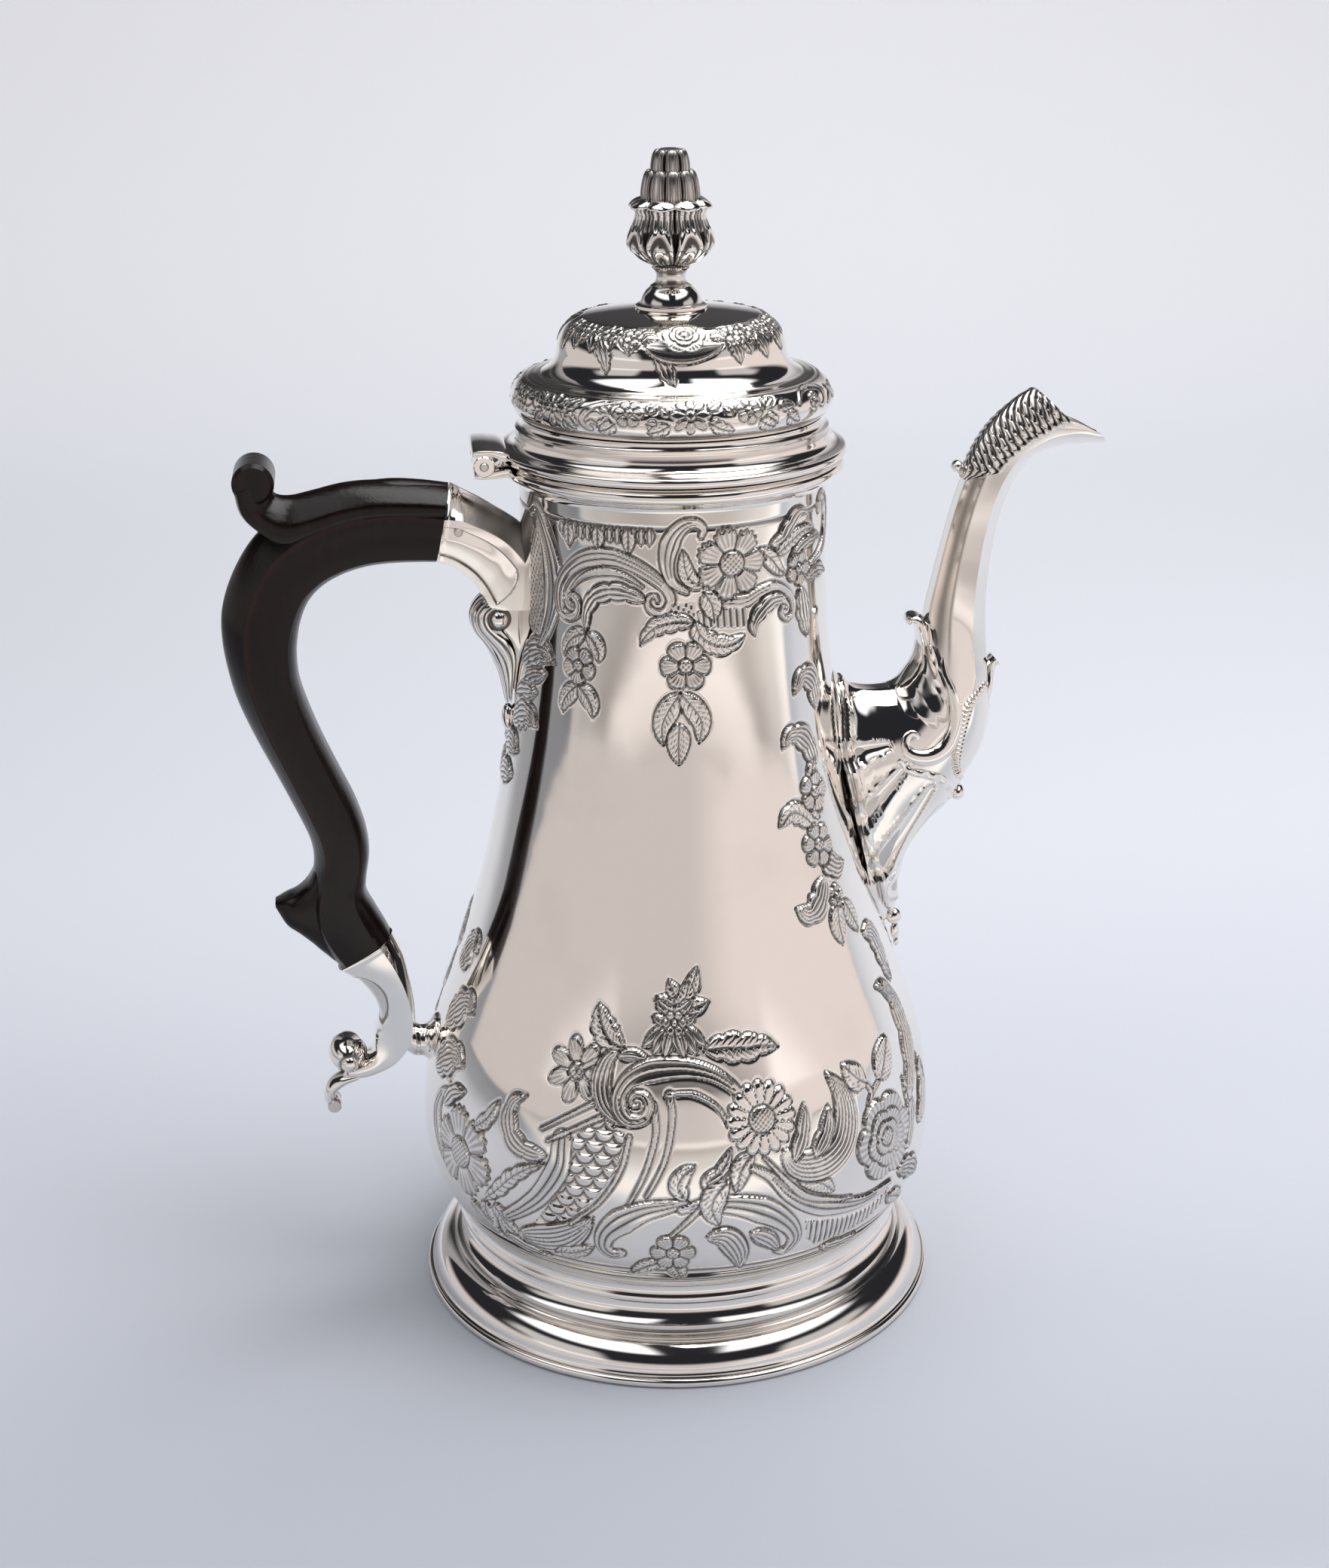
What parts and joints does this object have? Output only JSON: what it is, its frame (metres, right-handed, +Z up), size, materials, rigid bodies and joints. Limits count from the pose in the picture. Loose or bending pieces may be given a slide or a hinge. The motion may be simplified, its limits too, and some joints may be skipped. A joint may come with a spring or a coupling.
{
  "type": "coffee pot",
  "caption": "Pear-shaped silver coffee pot on a stepped foot, with a hinged domed lid and bud finial, a cast swan-neck spout and a curved dark wood handle in silver sockets.",
  "frame": {"origin": "on the pot's axis, in the plane of the foot wire's underside", "axes": "+Z up along the pot's axis, +X to the spout, handle at -X, +Y to the left of someone pouring"},
  "size_m": [0.2019, 0.124, 0.2686],
  "materials": {
    "silver": "polished, chased and oxidised in the recesses",
    "cast_silver": "polished casting with dark recesses",
    "pin_silver": "filed flush and lightly tarnished",
    "inner_silver": "plain turned",
    "wood": "dark stained hardwood, satin and worn brown at the edges"
  },
  "bodies": {
    "pot": {"body_shell": "silver", "foot_ring": "silver", "foot_wire": "silver", "rim_moulding": "silver", "body_hinge_leaf": "silver", "hinge_pin": "pin_silver", "upper_socket": "cast_silver", "upper_scroll_bracket": "cast_silver", "lower_socket": "cast_silver", "lower_scroll": "cast_silver", "lower_strut": "cast_silver", "handle_grip": "wood", "upper_handle_pin": "pin_silver", "lower_handle_pin": "pin_silver", "spout_left_half": "cast_silver", "spout_right_half": "cast_silver", "spout_lip_leaf": "cast_silver", "spout_acanthus": "cast_silver", "spout_front_leaf": "cast_silver", "spout_drop": "cast_silver"},
    "lid": {"lid_dome": "silver", "lid_flange": "silver", "lid_bezel": "silver", "lid_hinge_leaf": "silver", "finial_base": "cast_silver", "finial_cup": "cast_silver", "finial_bud": "cast_silver", "finial_stud": "inner_silver", "finial_nut": "inner_silver"}
  },
  "joints": [
    {"name": "lid_hinge", "type": "hinge", "parent": "pot", "child": "lid", "pos_m": [-0.0423, 0, 0.20255], "axis": [0, -1, 0], "range_deg": [0, 105]}
  ]
}
